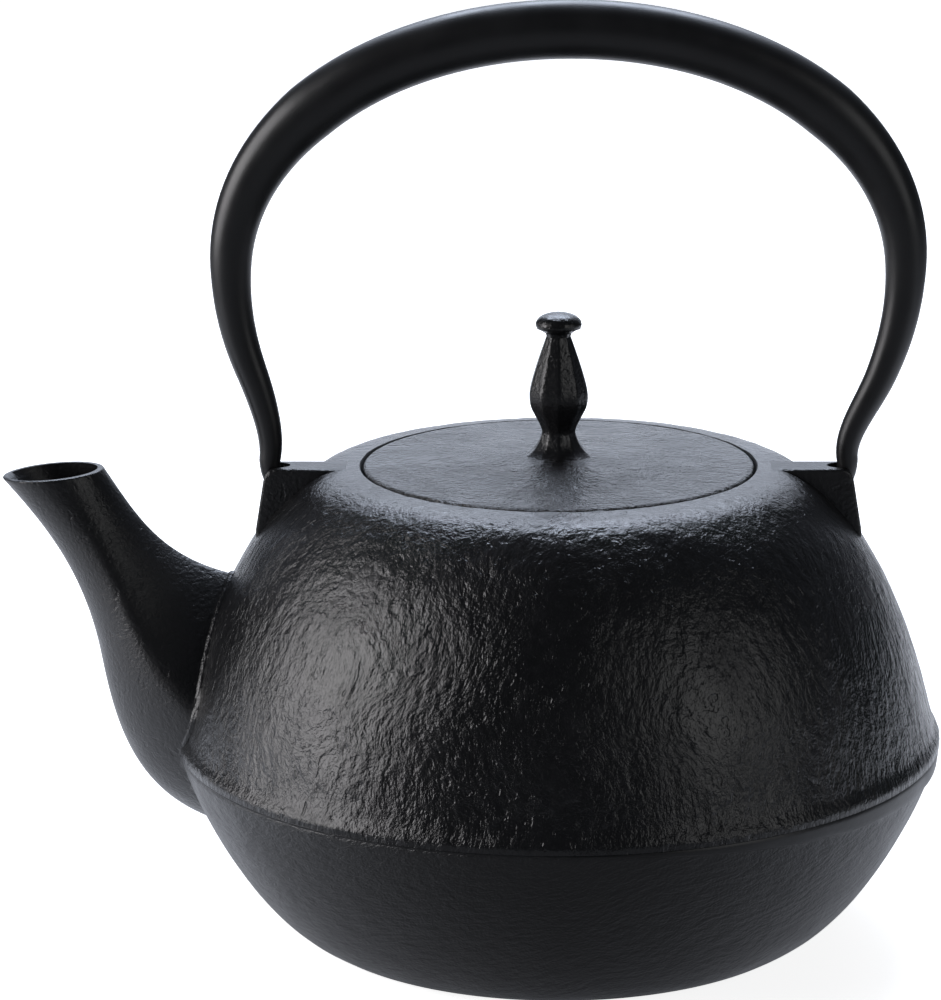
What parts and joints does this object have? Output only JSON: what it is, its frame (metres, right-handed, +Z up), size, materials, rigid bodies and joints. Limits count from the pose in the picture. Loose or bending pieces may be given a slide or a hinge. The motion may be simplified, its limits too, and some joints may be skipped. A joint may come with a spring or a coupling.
{
  "type": "teapot",
  "caption": "Round-shouldered iron teapot with a hip ridge, a side spout, an upright bail handle, a flush knobbed lid and a lift-out infuser basket.",
  "frame": {"origin": "centre of the pot's flat underside, on the pot's axis", "axes": "+Z up along the pot's axis; the spout points along -X; the bail stands in the XZ plane; -Y is the front seen in the picture"},
  "size_m": [0.2258, 0.185, 0.2245],
  "materials": {
    "cast_shell": "black lacquered casting skin, rough above the ridge and smooth below it",
    "bail_iron": "smooth satin black",
    "lid_iron": "fine-grained satin black",
    "knob_iron": "faceted, semi-gloss black",
    "basket_steel": "brushed",
    "basket_mesh": "woven wire"
  },
  "bodies": {
    "pot": {"pot_bowl": "cast_shell", "pot_shell": "cast_shell", "lid_ledge": "cast_shell", "pot_spout": "cast_shell"},
    "bail": {"bail_handle": "bail_iron"},
    "strainer": {"strainer_rim": "basket_steel", "strainer_mesh": "basket_mesh", "strainer_floor": "basket_steel"},
    "lid": {"lid": "lid_iron", "lid_knob": "knob_iron", "knob_washer": "basket_steel"}
  },
  "joints": [
    {"name": "bail_rock", "type": "hinge", "parent": "pot", "child": "bail", "pos_m": [0, 0, 0.109], "axis": [1, 0, 0], "range_deg": [-6, 6]},
    {"name": "strainer_lift", "type": "slide", "parent": "pot", "child": "strainer", "axis": [0, 0, 1], "range_m": [0, 0.0485]},
    {"name": "lid_lift", "type": "slide", "parent": "strainer", "child": "lid", "axis": [0, 0, 1], "range_m": [0, 0.0065]}
  ]
}
